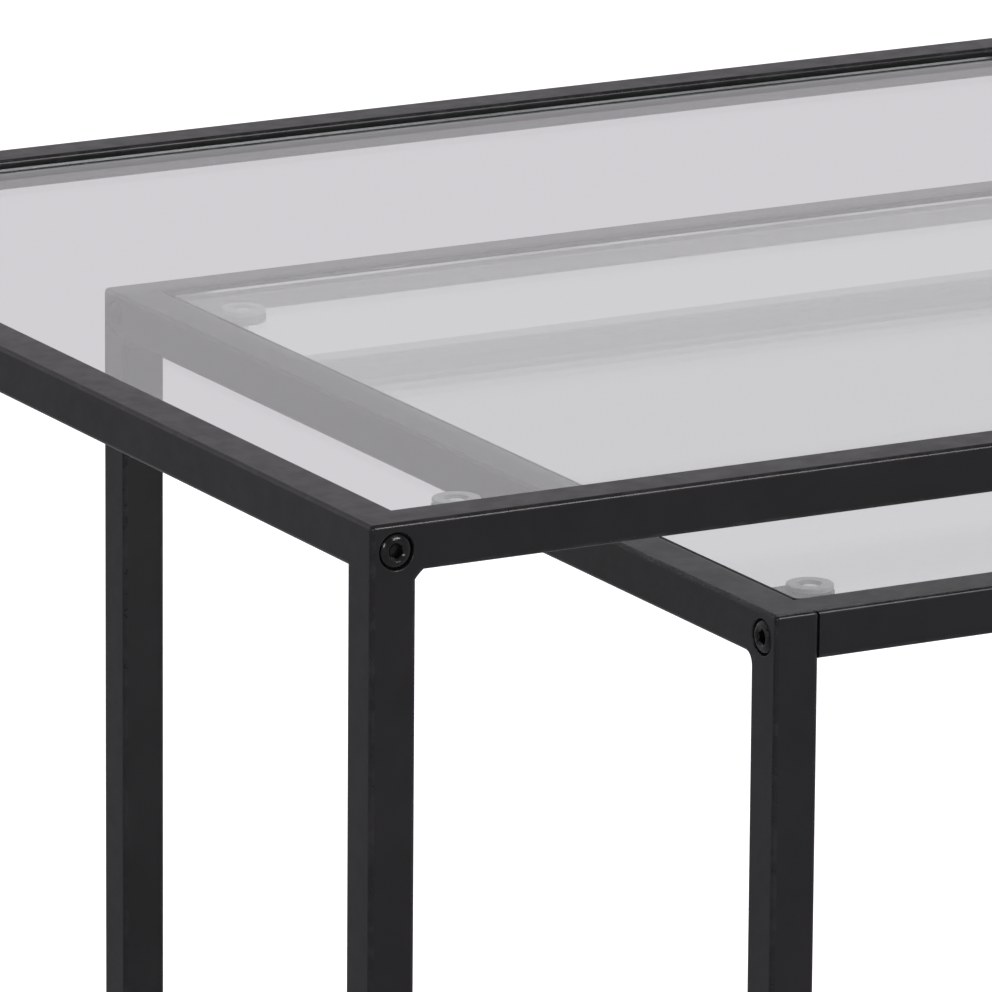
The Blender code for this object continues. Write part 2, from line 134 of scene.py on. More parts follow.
class FittingSettings(bpy.types.PropertyGroup):
    """Bolts, plugs, tabs, pads and feet."""
    socket_flats: FloatProperty(
        name="Socket", description="Width across the flats of the bolt's hexagon socket",
        default=4.1 * MM, min=2 * MM, max=5 * MM, unit="LENGTH")
    socket_depth: FloatProperty(
        name="Socket depth", description="Depth of the bolt's hexagon socket",
        default=3.2 * MM, min=0.5 * MM, max=4 * MM, unit="LENGTH")
    socket_mouth: FloatProperty(
        name="Socket mouth", description="Diameter of the chamfer round the bolt's hexagon socket",
        default=6.0 * MM, min=4.7 * MM, max=7 * MM, unit="LENGTH")
    thread_pitch: FloatProperty(
        name="Thread pitch", description="Pitch of the bolt's thread",
        default=1.0 * MM, min=0.5 * MM, max=2 * MM, unit="LENGTH")
    bolt_colour: FloatVectorProperty(
        name="Bolt colour", description="Colour of the blackened bolts",
        default=(0.0045, 0.0042, 0.0046), min=0.0, max=1.0, subtype="COLOR")
    bolt_roughness: FloatProperty(
        name="Bolt roughness", description="Roughness of the blackened bolts",
        default=0.20, min=0.0, max=1.0, subtype="FACTOR")
    plug_colour: FloatVectorProperty(
        name="Plug colour", description="Colour of the zinc-plated threaded plugs",
        default=(0.56, 0.56, 0.58), min=0.0, max=1.0, subtype="COLOR")
    tab_weld: FloatProperty(
        name="Tab weld", description="Width of the weld bead along a tab's root",
        default=1.3 * MM, min=0.3 * MM, max=3 * MM, unit="LENGTH")
    pad_dish: FloatProperty(
        name="Pad dish", description="Diameter of the dish in a pad's top",
        default=7.3 * MM, min=3 * MM, max=12 * MM, unit="LENGTH")
    pad_colour: FloatVectorProperty(
        name="Pad colour", description="Colour of the clear soft pads",
        default=(0.31, 0.31, 0.325), min=0.0, max=1.0, subtype="COLOR")
    foot_colour: FloatVectorProperty(
        name="Foot colour", description="Colour of the moulded feet",
        default=(0.013, 0.013, 0.013), min=0.0, max=1.0, subtype="COLOR")


class GlassSettings(bpy.types.PropertyGroup):
    """Glass panes."""
    corner: FloatProperty(
        name="Corner", description="Radius of the pane's corners",
        default=3.0 * MM, min=0.5 * MM, max=20 * MM, unit="LENGTH")
    arris: FloatProperty(
        name="Arris", description="Width of the ground bevel along the pane's edges",
        default=0.6 * MM, min=0.1 * MM, max=2 * MM, unit="LENGTH")
    tint: FloatVectorProperty(
        name="Tint", description="Colour that the glass takes on where light travels far in it",
        default=(0.18, 0.74, 0.55), min=0.0, max=1.0, subtype="COLOR")
    tint_density: FloatProperty(
        name="Tint density", description="How strongly the glass absorbs, per metre",
        default=3.0, min=0.0, max=100.0)
    face_relief: FloatProperty(
        name="Face relief", description="Height of the long waves in the pane's faces",
        default=0.001 * MM, min=0.0, max=0.1 * MM, precision=6, unit="LENGTH")
    edge_relief: FloatProperty(
        name="Edge relief", description="Height of the marks that grinding leaves on the pane's edges",
        default=0.004 * MM, min=0.0, max=0.1 * MM, precision=6, unit="LENGTH")
    dust: FloatProperty(
        name="Dust", description="Share of the surface that faint dust covers",
        default=0.012, min=0.0, max=0.2, subtype="FACTOR")


class StageSettings(bpy.types.PropertyGroup):
    """Floor, lights and camera."""
    floor_colour: FloatVectorProperty(
        name="Floor colour", description="Colour of the pale floor",
        default=(0.80, 0.78, 0.81), min=0.0, max=1.0, subtype="COLOR")
    backdrop: FloatVectorProperty(
        name="Surround colour", description="Colour of the studio's walls as the glass mirrors them",
        default=(0.651, 0.631, 0.658), min=0.0, max=1.0, subtype="COLOR")
    ceiling: FloatVectorProperty(
        name="Ceiling colour", description="Colour of the studio's ceiling",
        default=(0.23, 0.222, 0.234), min=0.0, max=1.0, subtype="COLOR")
    glow: FloatProperty(
        name="Floor glow", description="Light added to the floor where it is looked at directly",
        default=0.85, min=0.0, max=2.0)
    floor_through: FloatVectorProperty(
        name="Floor through glass", description="Even light of the floor as it shows through the glass",
        default=(0.655, 0.635, 0.662), min=0.0, max=1.0, subtype="COLOR")
    floor_mirrored: FloatVectorProperty(
        name="Floor mirrored", description="Light of the floor as the steel and the glass mirror it",
        default=(0.35, 0.34, 0.355), min=0.0, max=1.0, subtype="COLOR")
    front: FloatVectorProperty(
        name="Front colour", description="Colour of the studio's dark end, behind the camera",
        default=(0.26, 0.25, 0.265), min=0.0, max=1.0, subtype="COLOR")
    key_power: FloatProperty(
        name="Key light", description="Power of the front softbox in watts", default=38.0, min=0.0)
    fill_power: FloatProperty(
        name="Fill light", description="Power of the left softbox in watts", default=14.0, min=0.0)
    top_power: FloatProperty(
        name="Top light", description="Power of the overhead softbox in watts", default=25.0, min=0.0)
    camera_place: FloatVectorProperty(
        name="Camera", description="Where the camera stands",
        default=(-1.76674, -2.91830, 1.31003), subtype="TRANSLATION")
    camera_yaw: FloatProperty(
        name="Yaw", description="Camera's turn to the right of +Y",
        default=math.radians(28.908), subtype="ANGLE")
    camera_pitch: FloatProperty(
        name="Pitch", description="Camera's tilt downwards",
        default=math.radians(14.755), subtype="ANGLE")
    camera_roll: FloatProperty(
        name="Roll", description="Camera's roll", default=0.0075, subtype="ANGLE")
    camera_lens: FloatProperty(
        name="Lens", description="Focal length in millimetres on a 36 mm sensor",
        default=398.85, min=10.0)


# ---------------------------------------------------------------- places in the frame

def body_of(node):
    for body, members in frame["record"]["behaviour"]["bodies"].items():
        if node in members:
            return body
    raise RuntimeError("no body holds " + node)


def middle(node):
    low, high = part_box(node)
    return (low + high) / 2


def extent(node):
    low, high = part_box(node)
    return high - low


def tube_side():
    return extent("outer_left_rail").x


def turned(side):
    return Matrix.Rotation(math.radians(TURN[side]), 4, "Z")


def outward(side):
    """Unit vector that a side of the table faces."""
    return turned(side) @ Vector((0.0, -1.0, 0.0))


def frame_side_of(table, corner):
    """The side whose leg frame stands at this corner."""
    return next(side for side in FRAME_SIDES[table] if side in corner)


def place_piece(name, mesh, where, finishes, node):
    """An object at its place in the frame.  It rides on the node's body and stands for the node."""
    made = bpy.data.objects.new(name, mesh)
    bpy.context.scene.collection.objects.link(made)
    made.matrix_world = where
    if not mesh.materials:
        for finish in finishes:
            mesh.materials.append(finish)
    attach(made, body_of(node))
    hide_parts(node)
    return made


# ---------------------------------------------------------------- mesh building

def arc_points(centre, radius, start, end, steps):
    """Points along an arc in the plane, from one angle to another, in degrees."""
    points = []
    for i in range(steps + 1):
        angle = math.radians(start + (end - start) * i / steps)
        points.append((centre[0] + radius * math.cos(angle), centre[1] + radius * math.sin(angle)))
    return points


def rounded_rectangle(width, depth, radius, steps):
    points = []
    for quarter, (side_x, side_y) in enumerate(((1, 1), (-1, 1), (-1, -1), (1, -1))):
        centre = (side_x * (width / 2 - radius), side_y * (depth / 2 - radius))
        points += arc_points(centre, radius, 90 * quarter, 90 * quarter + 90, steps)
    return points


def ring_at(outline, height):
    return [Vector((x, y, height)) for x, y in outline]


def circle_ring(radius, height):
    """A ring of points; radius may be a number or a function of the angle."""
    points = []
    for i in range(ROUND_POINTS):
        angle = math.tau * i / ROUND_POINTS
        size = radius(angle) if callable(radius) else radius
        points.append(Vector((size * math.cos(angle), size * math.sin(angle), height)))
    return points


def loft(bm, rings, closed=False):
    """Skin over rings of equally many points.  An open loft gets a face at each end."""
    rows = [[bm.verts.new(point) for point in ring] for ring in rings]
    pairs = list(zip(rows, rows[1:]))
    if closed:
        pairs.append((rows[-1], rows[0]))
    for lower, upper in pairs:
        for i in range(len(lower)):
            j = (i + 1) % len(lower)
            bm.faces.new((lower[i], lower[j], upper[j], upper[i]))
    if not closed:
        bm.faces.new(reversed(rows[0]))
        bm.faces.new(rows[-1])


def mesh_of(bm, name, smooth_angle=None):
    """The finished mesh, with its faces pointing out and its flat faces flat."""
    bmesh.ops.recalc_face_normals(bm, faces=bm.faces)
    mesh = bpy.data.meshes.new(name)
    bm.to_mesh(mesh)
    bm.free()
    if smooth_angle is not None:
        mesh = weighted(mesh, smooth_angle)
    return mesh


def evaluated(made, name):
    """The object's mesh with its modifiers applied.  The object itself is removed."""
    bpy.context.view_layer.update()
    graph = bpy.context.evaluated_depsgraph_get()
    mesh = bpy.data.meshes.new_from_object(made.evaluated_get(graph), preserve_all_data_layers=True,
                                           depsgraph=graph)
    old = made.data
    bpy.data.objects.remove(made, do_unlink=True)
    bpy.data.meshes.remove(old)
    mesh.name = name
    return mesh


def scratch_object(mesh):
    made = bpy.data.objects.new("scratch", mesh)
    bpy.context.scene.collection.objects.link(made)
    return made


def weighted(mesh, smooth_angle):
    """Smooth shading that leaves large flat faces flat and keeps sharp edges sharp."""
    name = mesh.name
    mesh.shade_smooth()
    mesh.set_sharp_from_angle(angle=math.radians(smooth_angle))
    made = scratch_object(mesh)
    normals = made.modifiers.new("normals", "WEIGHTED_NORMAL")
    normals.keep_sharp = True
    normals.weight = 100
    return evaluated(made, name)


def boolean(made, cutter, operation):
    cut = made.modifiers.new(operation.lower(), "BOOLEAN")
    cut.operation = operation
    cut.object = cutter
    cut.solver = "EXACT"


def mark_edges(mesh):
    """Writes 1 on the points of rounded edges and 0 on the points of the flat faces."""
    flat = set()
    for face in mesh.polygons:
        if max(abs(part) for part in face.normal) > 0.9995:
            flat.update(face.vertices)
    marks = mesh.attributes.new(EDGE_ATTRIBUTE, "FLOAT", "POINT")
    for vert in mesh.vertices:
        marks.data[vert.index].value = 0.0 if vert.index in flat else 1.0


# ---------------------------------------------------------------- node building

def new_material(name):
    made = bpy.data.materials.new(name)
    made.use_nodes = True
    made.node_tree.nodes.clear()
    return made, made.node_tree


def add(tree, kind, inputs=None, **options):
    """A new node.  An input's value is a number, a colour, or a socket to link from."""
    made = tree.nodes.new(kind)
    for name, value in options.items():
        setattr(made, name, value)
    for name, value in (inputs or {}).items():
        socket = made.inputs[name]
        if isinstance(value, bpy.types.NodeSocket):
            tree.links.new(value, socket)
        else:
            socket.default_value = value
    return made


def coordinates(tree, stretch=(1.0, 1.0, 1.0)):
    """Coordinates that stay with the piece, moved by a different amount on each piece."""
    own = add(tree, "ShaderNodeTexCoord").outputs["Object"]
    chance = add(tree, "ShaderNodeObjectInfo").outputs["Random"]
    shift = add(tree, "ShaderNodeVectorMath", {0: (7.3, 3.1, 5.7), "Scale": chance}, operation="SCALE")
    moved = add(tree, "ShaderNodeVectorMath", {0: own, 1: shift.outputs[0]}, operation="ADD")
    return add(tree, "ShaderNodeVectorMath", {0: moved.outputs[0], 1: stretch},
               operation="MULTIPLY").outputs[0]


def noise(tree, where, scale, detail=2.0, roughness=0.5):
    made = add(tree, "ShaderNodeTexNoise",
               {"Vector": where, "Scale": scale, "Detail": detail, "Roughness": roughness})
    return made.outputs["Fac"]


def ramp(tree, value, low, high, to_low=0.0, to_high=1.0):
    """The value brought from one range to another, and held inside it."""
    made = add(tree, "ShaderNodeMapRange",
               {"Value": value, "From Min": low, "From Max": high, "To Min": to_low, "To Max": to_high},
               interpolation_type="SMOOTHSTEP", clamp=True)
    return made.outputs["Result"]


def maths(tree, operation, first, second):
    return add(tree, "ShaderNodeMath", {0: first, 1: second}, operation=operation).outputs[0]


def mix_colours(tree, share, first, second):
    made = add(tree, "ShaderNodeMix", {0: share, 6: first, 7: second}, data_type="RGBA")
    return made.outputs[2]


def rgba(colour, factor=1.0):
    return (*[min(1.0, part * factor) for part in colour], 1.0)


def bumped(tree, height, distance):
    made = add(tree, "ShaderNodeBump", {"Height": height, "Distance": distance, "Strength": 1.0})
    return made.outputs["Normal"]


def output(tree, surface, volume=None):
    inputs = {"Surface": surface}
    if volume is not None:
        inputs["Volume"] = volume
    add(tree, "ShaderNodeOutputMaterial", inputs)


# ---------------------------------------------------------------- finishes

def powder_coat(tube):
    """Black powder coat: fine orange peel, slight mottling, burnished edges and a few dust nibs."""
    made, tree = new_material("black_powder_coat")
    where = coordinates(tree)
    peel = noise(tree, where, 1.0 / tube.grain, 2.0, 0.45)
    fine = noise(tree, where, 3.7 / tube.grain, 2.0, 0.6)
    mottle = noise(tree, where, 22.0, 3.0, 0.6)
    clouds = noise(tree, where, 140.0, 4.0, 0.6)

    # Nibs: one cell in about thirty holds a speck about half a millimetre wide.
    cells = add(tree, "ShaderNodeTexVoronoi", {"Vector": where, "Scale": 110.0})
    chosen = add(tree, "ShaderNodeSeparateColor", {"Color": cells.outputs["Color"]})
    near = ramp(tree, cells.outputs["Distance"], 0.05, 0.025)
    picked = ramp(tree, chosen.outputs["Red"], 0.962, 0.97)
    nib = maths(tree, "MULTIPLY", near, picked)

    edge = add(tree, "ShaderNodeAttribute", attribute_name=EDGE_ATTRIBUTE).outputs["Fac"]
    rubbed = ramp(tree, clouds, 0.44, 0.66)
    worn = maths(tree, "MULTIPLY", maths(tree, "MULTIPLY", edge, rubbed), tube.wear)

    base = mix_colours(tree, ramp(tree, mottle, 0.3, 0.7), rgba(tube.colour, 0.85), rgba(tube.colour, 1.2))
    base = mix_colours(tree, worn, base, rgba(tube.colour, 3.2))
    base = mix_colours(tree, nib, base, (0.22, 0.22, 0.215, 1.0))
    spread = ramp(tree, clouds, 0.3, 0.7, tube.roughness - 0.035, tube.roughness + 0.035)
    drawn = maths(tree, "ADD", maths(tree, "MULTIPLY", edge, 0.13), maths(tree, "MULTIPLY", worn, 0.08))
    rough = maths(tree, "SUBTRACT", spread, drawn)
    height = maths(tree, "ADD", peel, maths(tree, "MULTIPLY", fine, 0.35))
    height = maths(tree, "ADD", height, maths(tree, "MULTIPLY", nib, 2.5))
    shader = add(tree, "ShaderNodeBsdfPrincipled",
                 {"Base Color": base, "Roughness": rough, "Normal": bumped(tree, height, tube.relief)})
    shader.inputs["Specular IOR Level"].default_value = 0.40
    output(tree, shader.outputs[0])
    return made


def blackened_steel(fittings):
    """Glossy black bolt: rings left by turning, rubbed a little on its high points."""
    made, tree = new_material("blackened_steel")
    where = add(tree, "ShaderNodeTexCoord").outputs["Object"]
    rings = add(tree, "ShaderNodeTexWave",
                {"Vector": where, "Scale": 900.0, "Distortion": 0.6, "Detail": 2.0},
                wave_type="RINGS", rings_direction="Z")
    grain = noise(tree, where, 2600.0, 3.0, 0.6)
    smear = noise(tree, where, 420.0, 3.0, 0.55)
    high = add(tree, "ShaderNodeNewGeometry").outputs["Pointiness"]
    rubbed = maths(tree, "MULTIPLY", ramp(tree, high, 0.52, 0.60), ramp(tree, smear, 0.4, 0.7))
    base = mix_colours(tree, ramp(tree, smear, 0.35, 0.7), rgba(fittings.bolt_colour, 0.8),
                       rgba(fittings.bolt_colour, 1.5))
    base = mix_colours(tree, rubbed, base, (0.09, 0.088, 0.09, 1.0))
    rough = ramp(tree, smear, 0.3, 0.75, fittings.bolt_roughness - 0.05, fittings.bolt_roughness + 0.1)
    height = maths(tree, "ADD", maths(tree, "MULTIPLY", rings.outputs["Fac"], 0.5), grain)
    shader = add(tree, "ShaderNodeBsdfPrincipled",
                 {"Base Color": base, "Roughness": rough, "Normal": bumped(tree, height, 0.002 * MM)})
    shader.inputs["Specular IOR Level"].default_value = 0.42
    shader.inputs["Coat Weight"].default_value = 0.12
    shader.inputs["Coat Roughness"].default_value = 0.12
    output(tree, shader.outputs[0])
    return made


def zinc_plate(fittings):
    """Bright zinc plate with fine spangle and a brushed grain."""
    made, tree = new_material("zinc_plate")
    where = coordinates(tree)
    spangle = add(tree, "ShaderNodeTexVoronoi", {"Vector": where, "Scale": 900.0})
    grain = noise(tree, coordinates(tree, (1.0, 1.0, 12.0)), 700.0, 3.0, 0.6)
    tone = ramp(tree, spangle.outputs["Distance"], 0.0, 0.8)
    base = mix_colours(tree, tone, rgba(fittings.plug_colour, 1.1), rgba(fittings.plug_colour, 0.8))
    rough = ramp(tree, grain, 0.3, 0.7, 0.26, 0.44)
    shader = add(tree, "ShaderNodeBsdfPrincipled",
                 {"Base Color": base, "Roughness": rough, "Normal": bumped(tree, grain, 0.004 * MM)})
    shader.inputs["Metallic"].default_value = 1.0
    output(tree, shader.outputs[0])
    return made


def clear_silicone(fittings):
    """Clear soft pad: cloudy inside, with a faintly matt moulded skin. Its dish floor is painted lighter as a
    painted glint, and its dish wall is painted darker as painted shade.
    """
    made, tree = new_material("clear_silicone")
    where = coordinates(tree)
    cloud = noise(tree, where, 320.0, 3.0, 0.6)
    skin = noise(tree, where, 2400.0, 3.0, 0.6)
    own = add(tree, "ShaderNodeTexCoord").outputs["Object"]
    level = add(tree, "ShaderNodeVectorMath", {0: own, 1: (1.0, 1.0, 0.0)}, operation="MULTIPLY")
    span = add(tree, "ShaderNodeVectorMath", {0: level.outputs[0]}, operation="LENGTH").outputs["Value"]
    dish = fittings.pad_dish / 2
    # Painted light in the dish, by distance from the pad's axis. wall masks the painted shade on the dish's
    # sloping wall, and inside it the dish floor carries a painted glint. rim brings the colour back to the
    # pad's own outside the dish.
    wall = ramp(tree, span, dish - 1.7 * MM, dish - 1.2 * MM)
    rim = ramp(tree, span, dish - 0.15 * MM, dish + 0.15 * MM)
    # Painted glint: the dish floor is 2.5 times lighter. Painted shade: the dish wall is 0.4 times the pad's
    # colour.
    base = mix_colours(tree, wall, rgba(fittings.pad_colour, 2.5), rgba(fittings.pad_colour, 0.40))
    base = mix_colours(tree, rim, base, rgba(fittings.pad_colour))
    base = mix_colours(tree, ramp(tree, cloud, 0.3, 0.7, 0.0, 0.16), base, (0.10, 0.10, 0.11, 1.0))
    rough = ramp(tree, skin, 0.3, 0.7, 0.24, 0.40)
    shader = add(tree, "ShaderNodeBsdfPrincipled",
                 {"Base Color": base, "Roughness": rough, "Normal": bumped(tree, skin, 0.006 * MM)})
    shader.inputs["Transmission Weight"].default_value = 0.25
    shader.inputs["IOR"].default_value = 1.41
    output(tree, shader.outputs[0])
    return made


def moulded_plastic(fittings):
    """Black moulded plastic with a fine spark-eroded texture and scuffs underneath."""
    made, tree = new_material("moulded_plastic")
    where = coordinates(tree)
    texture = noise(tree, where, 1800.0, 3.0, 0.6)
    scuff = noise(tree, coordinates(tree, (1.0, 6.0, 1.0)), 160.0, 4.0, 0.65)
    base = mix_colours(tree, ramp(tree, scuff, 0.45, 0.75), rgba(fittings.foot_colour),
                       rgba(fittings.foot_colour, 2.6))
    rough = ramp(tree, texture, 0.3, 0.7, 0.46, 0.66)
    shader = add(tree, "ShaderNodeBsdfPrincipled",
                 {"Base Color": base, "Roughness": rough, "Normal": bumped(tree, texture, 0.02 * MM)})
    output(tree, shader.outputs[0])
    return made


def clear_glass(name, glass, polish, relief):
    """Clear glass that tints light by how far it travels inside, with faint dust on its faces.

    polish is how fine the waves in its surface are, and relief how high.  Lamps shine through it
    unbent, so that what lies behind is lit as it is through a real pane.
    """
    made, tree = new_material(name)
    where = coordinates(tree)
    waves = noise(tree, coordinates(tree, (1.0, 1.0, polish)), 9.0 * polish, 2.0, 0.5)
    shader = add(tree, "ShaderNodeBsdfPrincipled",
                 {"Base Color": (1.0, 1.0, 1.0, 1.0), "Roughness": 0.0,
                  "Normal": bumped(tree, waves, relief)})
    shader.inputs["Transmission Weight"].default_value = 1.0
    shader.inputs["IOR"].default_value = 1.52

    motes = noise(tree, where, 2100.0, 2.0, 0.7)
    drift = noise(tree, where, 14.0, 3.0, 0.6)
    cover = maths(tree, "MULTIPLY", ramp(tree, motes, 0.52, 0.72), ramp(tree, drift, 0.35, 0.75))
    dust = add(tree, "ShaderNodeBsdfDiffuse", {"Color": (0.62, 0.61, 0.60, 1.0)})
    dusty = add(tree, "ShaderNodeMixShader",
                {0: maths(tree, "MULTIPLY", cover, glass.dust), 1: shader.outputs[0], 2: dust.outputs[0]})
    lamp = add(tree, "ShaderNodeLightPath").outputs["Is Shadow Ray"]
    through = add(tree, "ShaderNodeBsdfTransparent", {"Color": (0.90, 0.915, 0.91, 1.0)})
    surface = add(tree, "ShaderNodeMixShader", {0: lamp, 1: dusty.outputs[0], 2: through.outputs[0]})
    volume = add(tree, "ShaderNodeVolumeAbsorption",
                 {"Color": rgba(glass.tint), "Density": glass.tint_density})
    output(tree, surface.outputs[0], volume.outputs[0])
    return made


def finish(name, make, *settings):
    """A material by name, made the first time that it is asked for."""
    return bpy.data.materials.get(name) or make(*settings)


# ---------------------------------------------------------------- leg frames and rails

def weld_points(corner, leg, hollow, side):
    """The weld in an inside corner, from the leg up to the rail.  hollow is 0 for a flat weld."""
    start = Vector((corner[0], corner[1] - leg))
    end = Vector((corner[0] - side * leg, corner[1]))
    pull = (start + end).lerp(2 * Vector(corner), hollow) / 2
    points = []
    steps = 8
    for i in range(steps + 1):
        t = i / steps
        points.append(start * (1 - t) ** 2 + pull * (2 * t * (1 - t)) + end * t * t)
    return points


def frame_outline(length, height, foot, tube, inset, leg, hollow):
    """Outline of leg, rail and leg, in length and height, drawn inset by one distance all round."""
    side, top = length / 2 - inset, height - inset
    inner, under = length / 2 - tube + inset, height - tube + inset
    right = [tuple(point) for point in weld_points((inner, under), leg, hollow, 1)]
    left = [(-x, z) for x, z in reversed(right)]
    return [(-side, foot), (-side, top), (side, top), (side, foot), (inner, foot), *right, *left,
            (-inner, foot)]


def plate(outline, thickness):
    """A solid of even thickness across Y, from an outline in X and Z."""
    bm = bmesh.new()
    loft(bm, [[Vector((x, y, z)) for x, z in outline] for y in (-thickness / 2, thickness / 2)])
    bmesh.ops.recalc_face_normals(bm, faces=bm.faces)
    return bm


def round_edges(bm, radius, steps, foot):
    """Rounds every square edge, apart from those round the cut ends of the legs."""
    square = []
    for edge in bm.edges:
        at_end = all(abs(vert.co.z - foot) < radius / 4 for vert in edge.verts)
        if not at_end and edge.calc_face_angle(0.0) > math.radians(60):
            square.append(edge)
    bmesh.ops.bevel(bm, geom=square, offset=radius, segments=steps, profile=0.5, affect="EDGES",
                    clamp_overlap=False)


def turned_tool(profile, place):
    """A turned solid for cutting or joining.  The profile lists radius and depth."""
    bm = bmesh.new()
    loft(bm, [circle_ring(radius, depth) for radius, depth in profile])
    bmesh.ops.recalc_face_normals(bm, faces=bm.faces)
    bmesh.ops.transform(bm, matrix=place, verts=bm.verts)
    return bm


def tool_object(parts):
    """One scratch object that holds several closed solids."""
    mesh = bpy.data.meshes.new("tool")
    whole = bmesh.new()
    for part in parts:
        part.to_mesh(mesh)
        part.free()
        whole.from_mesh(mesh)
    whole.to_mesh(mesh)
    whole.free()
    return scratch_object(mesh)


def leg_frame_mesh(name, size, foot, tube, holes, seat, weld):
    """Two legs and a rail.  Drawn in X and Z with the outer face towards -Y; holes are bolt axes.

    seat holds the bolt seat's radius, its depth and the shank hole's radius.
    """
    length, height = size
    settings = bpy.context.scene.tables_tube
    bm = plate(frame_outline(length, height, foot, tube, 0.0, *weld), tube)
    round_edges(bm, settings.corner_round, CORNER_STEPS, foot)
    mesh = bpy.data.meshes.new(name)
    bm.to_mesh(mesh)
    bm.free()
    made = scratch_object(mesh)

    wall = settings.wall
    bore = plate(frame_outline(length, height, foot - tube, tube, wall, BORE_WELD, 0.0), tube - 2 * wall)
    tools = [tool_object([bore])]
    boolean(made, tools[-1], "DIFFERENCE")

    seat_radius, seat_depth, hole_radius = seat
    face = tube / 2
    lip = settings.hole_lip
    in_wall = face - wall / 2
    spacer = [(hole_radius + SPACER_WALL, -in_wall), (hole_radius + SPACER_WALL, in_wall)]
    cup = [(seat_radius + CUP_WALL, face - seat_depth - CUP_FLOOR), (seat_radius + CUP_WALL, in_wall)]
    shank = [(hole_radius, -tube), (hole_radius, tube)]
    opening = [(seat_radius, face - seat_depth)]
    for i in range(5):
        angle = math.radians(22.5 * i)
        opening.append((seat_radius + lip - lip * math.cos(angle), face - lip + lip * math.sin(angle)))
    opening.append((seat_radius + 1.6 * lip, face + lip))
    for profile, operation in ((spacer, "UNION"), (cup, "UNION"), (shank, "DIFFERENCE"),
                               (opening, "DIFFERENCE")):
        parts = []
        for x, z in holes:
            stand = Matrix.Translation((x, 0.0, z)) @ Matrix.Rotation(math.radians(90), 4, "X")
            parts.append(turned_tool(profile, stand))
        tools.append(tool_object(parts))
        boolean(made, tools[-1], operation)
    mesh = evaluated(made, name)
    for tool in tools:
        old = tool.data
        bpy.data.objects.remove(tool, do_unlink=True)
        bpy.data.meshes.remove(old)
    mesh = weighted(mesh, 35)
    mark_edges(mesh)
    return mesh


def coped_end(outer, inner, half, round_radius, flush):
    """Rings over a rail's end, from its outside to its bore.

    The top wall reaches out over the rounded edge of the leg frame, so that the two tops meet flush.
    flush is -1 or 1 where the wall on that side of the rail does so too, and 0 where none does.
    Everywhere else the end is flat, with a slightly broken edge.
    """
    broken = 0.08 * MM
    start = max(y for _, y in outer) - round_radius
    rings = []
    for share in (0.0, 0.06, 0.14, 0.26, 0.45, 0.7, 1.0):
        ring = []
        for (x0, y0), (x1, y1) in zip(outer, inner):
            x, y = x0 + (x1 - x0) * share, y0 + (y1 - y0) * share
            climb = min(1.0, math.hypot(max(0.0, y - start), max(0.0, flush * x - start)) / round_radius)
            if climb > 0.0:
                end = half + round_radius * (1 - math.sqrt(1 - climb * climb))
            else:
                end = half - (broken if share == 0.0 else 0.0)
            ring.append(Vector((x, y, end)))
        rings.append(ring)
    return rings


def rail_mesh(name, length, tube, flush):
    """Square tube along Y, open at both ends, its top face up."""
    settings = bpy.context.scene.tables_tube
    bore = tube - 2 * settings.wall
    outer = rounded_rectangle(tube, tube, settings.corner_round, CORNER_STEPS)
    inner = rounded_rectangle(bore, bore, BORE_ROUND, CORNER_STEPS)
    far = coped_end(outer, inner, length / 2, settings.corner_round, flush)
    near = [[Vector((x, y, -z)) for x, y, z in ring] for ring in reversed(far)]
    bm = bmesh.new()
    loft(bm, near + far, closed=True)
    bmesh.ops.transform(bm, matrix=Matrix.Rotation(math.radians(90), 4, "X"), verts=bm.verts)
    mesh = mesh_of(bm, name, 35)
    mark_edges(mesh)
    return mesh


class TABLES_OT_leg_frames(bpy.types.Operator):
    """Makes the four welded leg frames, with a seat for each bolt"""
    bl_idname = "tables.leg_frames"
    bl_label = "Leg frames"

    def execute(self, context):
        settings = context.scene.tables_tube
        coat = finish("black_powder_coat", powder_coat, settings)
        tube = tube_side()
        welds = {"outer": (settings.ground_weld, 0.12), "inner": (settings.round_weld, 0.9)}
        for table, sides in FRAME_SIDES.items():
            for side in sides:
                node = table + "_" + side + "_frame"
                low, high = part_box(node)
                where = Matrix.Translation((*middle(node).xy, 0.0)) @ turned(side)
                holes = []
                for corner in CORNERS:
                    if side in corner:
                        bolt = middle(table + "_bolt_" + corner)
                        local = where.inverted() @ bolt
                        holes.append((local.x, local.z))
                length = max(high.x - low.x, high.y - low.y)
                mesh = leg_frame_mesh(node, (length, high.z), low.z, tube, holes, bolt_seat(), welds[table])
                place_piece(node + "_coated", mesh, where, [coat], node)
        return {"FINISHED"}


def bolt_seat():
    """Radius and depth of the seat that a bolt's head sits in, and the radius of its shank hole."""
    head_radius = extent("outer_bolt_front_left").x / 2
    return head_radius + SEAT_CLEARANCE, SEAT_DEPTH, SHANK_HOLE_RADIUS


def rail_length(table, side):
    """From one leg frame's inner face to the other's, less the seam at each end."""
    first, second = (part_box(table + "_" + frame_side + "_frame") for frame_side in FRAME_SIDES[table])
    axis = 0 if side in ("front", "back") else 1
    gap = max(first[0][axis], second[0][axis]) - min(first[1][axis], second[1][axis])
    return gap - 2 * bpy.context.scene.tables_tube.seam


